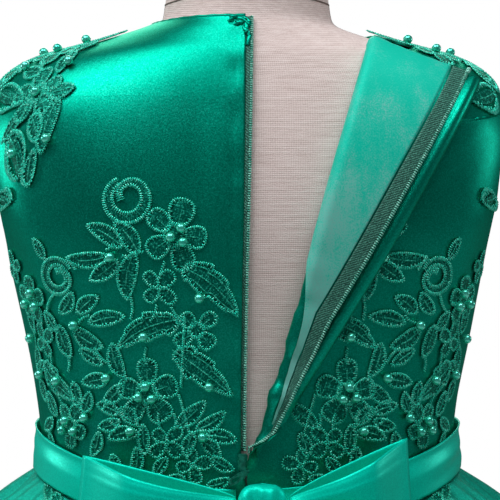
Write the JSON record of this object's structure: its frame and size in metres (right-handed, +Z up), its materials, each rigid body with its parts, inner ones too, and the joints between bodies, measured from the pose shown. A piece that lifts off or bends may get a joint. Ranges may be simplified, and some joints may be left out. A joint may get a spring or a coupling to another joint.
{
  "type": "junior bridesmaid dress on a child's dress form",
  "caption": "Sleeveless satin girl's dress with corded lace and pearls, back zip folded open on one side, waist bow and full net skirt, on a limbless linen dress form with pole and round base.",
  "frame": {"origin": "centre of the whole part's footprint, on the floor under the stand", "axes": "+Z up; the dress's back and zip face -Y, its front faces +Y; the wearer's right is +X"},
  "size_m": [0.6754, 0.6146, 1.041],
  "materials": {
    "satin": "emerald satin with a soft sheen",
    "sash_satin": "brighter emerald satin ribbon",
    "lining": "mint lining, smooth",
    "zip_tape": "woven tape",
    "zip_enamel": "enamel in the colour of the cloth",
    "net": "soft net",
    "lace_thread": "corded embroidery with pearls",
    "linen": "woven linen cover",
    "wood": "turned wood, satin varnish",
    "painted_steel": "pale enamel"
  },
  "bodies": {
    "dress_and_form": {"bodice_front": "satin", "back_left": "satin", "back_right": "satin", "back_lining_right": "lining", "zip_tape_left": "zip_tape", "zip_tape_right": "zip_tape", "zip_slider": "zip_enamel", "sash": "sash_satin", "bow_knot": "sash_satin", "bow_loop_left": "sash_satin", "bow_loop_right": "sash_satin", "bow_tail_left": "sash_satin", "bow_tail_right": "sash_satin", "skirt_front": "satin", "skirt_back": "satin", "tulle_front": "net", "tulle_back": "net", "lace_back_left": "lace_thread", "lace_back_right": "lace_thread", "lace_front_left": "lace_thread", "lace_front_right": "lace_thread", "lace_shoulder_left": "lace_thread", "lace_shoulder_right": "lace_thread", "form_torso": "linen", "form_neck_cap": "wood", "form_collar": "wood", "form_pole": "painted_steel", "form_base": "painted_steel"},
    "pull_tab": {"zip_pull": "zip_enamel"}
  },
  "joints": [
    {"name": "pull_tab_hinge", "type": "hinge", "parent": "dress_and_form", "child": "pull_tab", "pos_m": [0.00051, -0.08582, 0.73336], "axis": [-0.5592, -0.0148, 0.8289], "range_deg": [0, 170]}
  ]
}
